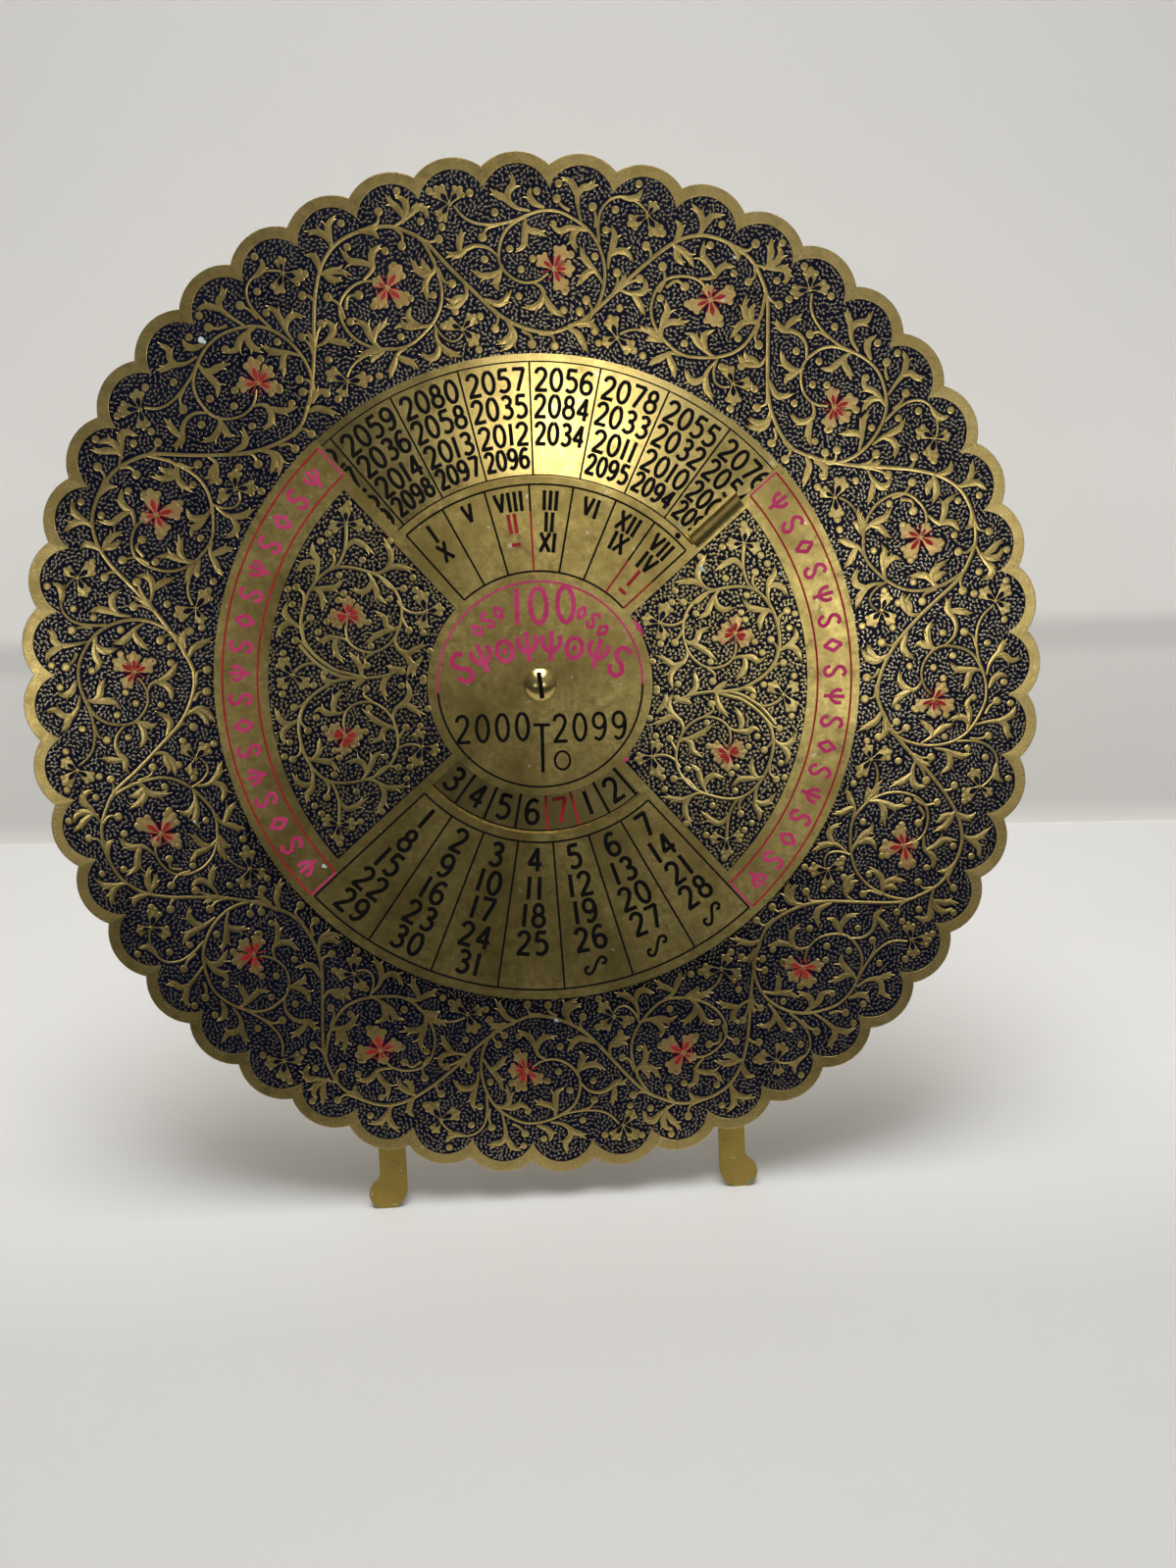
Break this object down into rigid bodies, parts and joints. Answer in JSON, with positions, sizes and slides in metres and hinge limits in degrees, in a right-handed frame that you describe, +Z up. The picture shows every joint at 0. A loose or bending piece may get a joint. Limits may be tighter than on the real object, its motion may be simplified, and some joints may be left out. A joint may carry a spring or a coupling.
{
  "type": "perpetual desk calendar",
  "caption": "Scalloped brass plate on two flat legs and a folding rear strut, with a turning year dial seen through a notch and an arc window in a fixed front disc.",
  "frame": {"origin": "on the floor, under the middle of the object's box", "axes": "+Z up, +X to the reader's right, -Y towards the reader; the plate leans back by 15 degrees"},
  "size_m": [0.254, 0.0852, 0.253],
  "materials": {
    "enamelled_plate": "aged engraved brass with dark enamel in its ground",
    "dial_brass": "brushed brass with black engraved numbers",
    "cover_brass": "aged engraved brass with dark and red enamel",
    "fitting_brass": "plain turned brass",
    "stand_brass": "plain aged sheet brass"
  },
  "bodies": {
    "stand": {"base_plate": "enamelled_plate", "cover_disc": "cover_brass", "pivot_bush": "fitting_brass", "rear_spacer": "fitting_brass", "front_spacer": "fitting_brass", "pivot_screw": "fitting_brass", "back_washer": "fitting_brass", "spring_washer": "fitting_brass", "hex_nut": "fitting_brass", "leg_rivets": "fitting_brass", "hinge_rivets": "fitting_brass", "hinge_pin": "fitting_brass", "hinge_leaf": "stand_brass", "left_leg": "stand_brass", "right_leg": "stand_brass"},
    "year_dial": {"year_disc": "dial_brass"},
    "strut": {"rear_strut": "stand_brass"}
  },
  "joints": [
    {"name": "year_dial_spin", "type": "hinge", "parent": "stand", "child": "year_dial", "pos_m": [0, -0.00895, 0.13038], "axis": [0, -0.9659, 0.2588], "continuous": true},
    {"name": "strut_fold", "type": "hinge", "parent": "stand", "child": "strut", "pos_m": [0, -0.01154, 0.10623], "axis": [-1, 0, 0], "range_deg": [0, 39]}
  ]
}
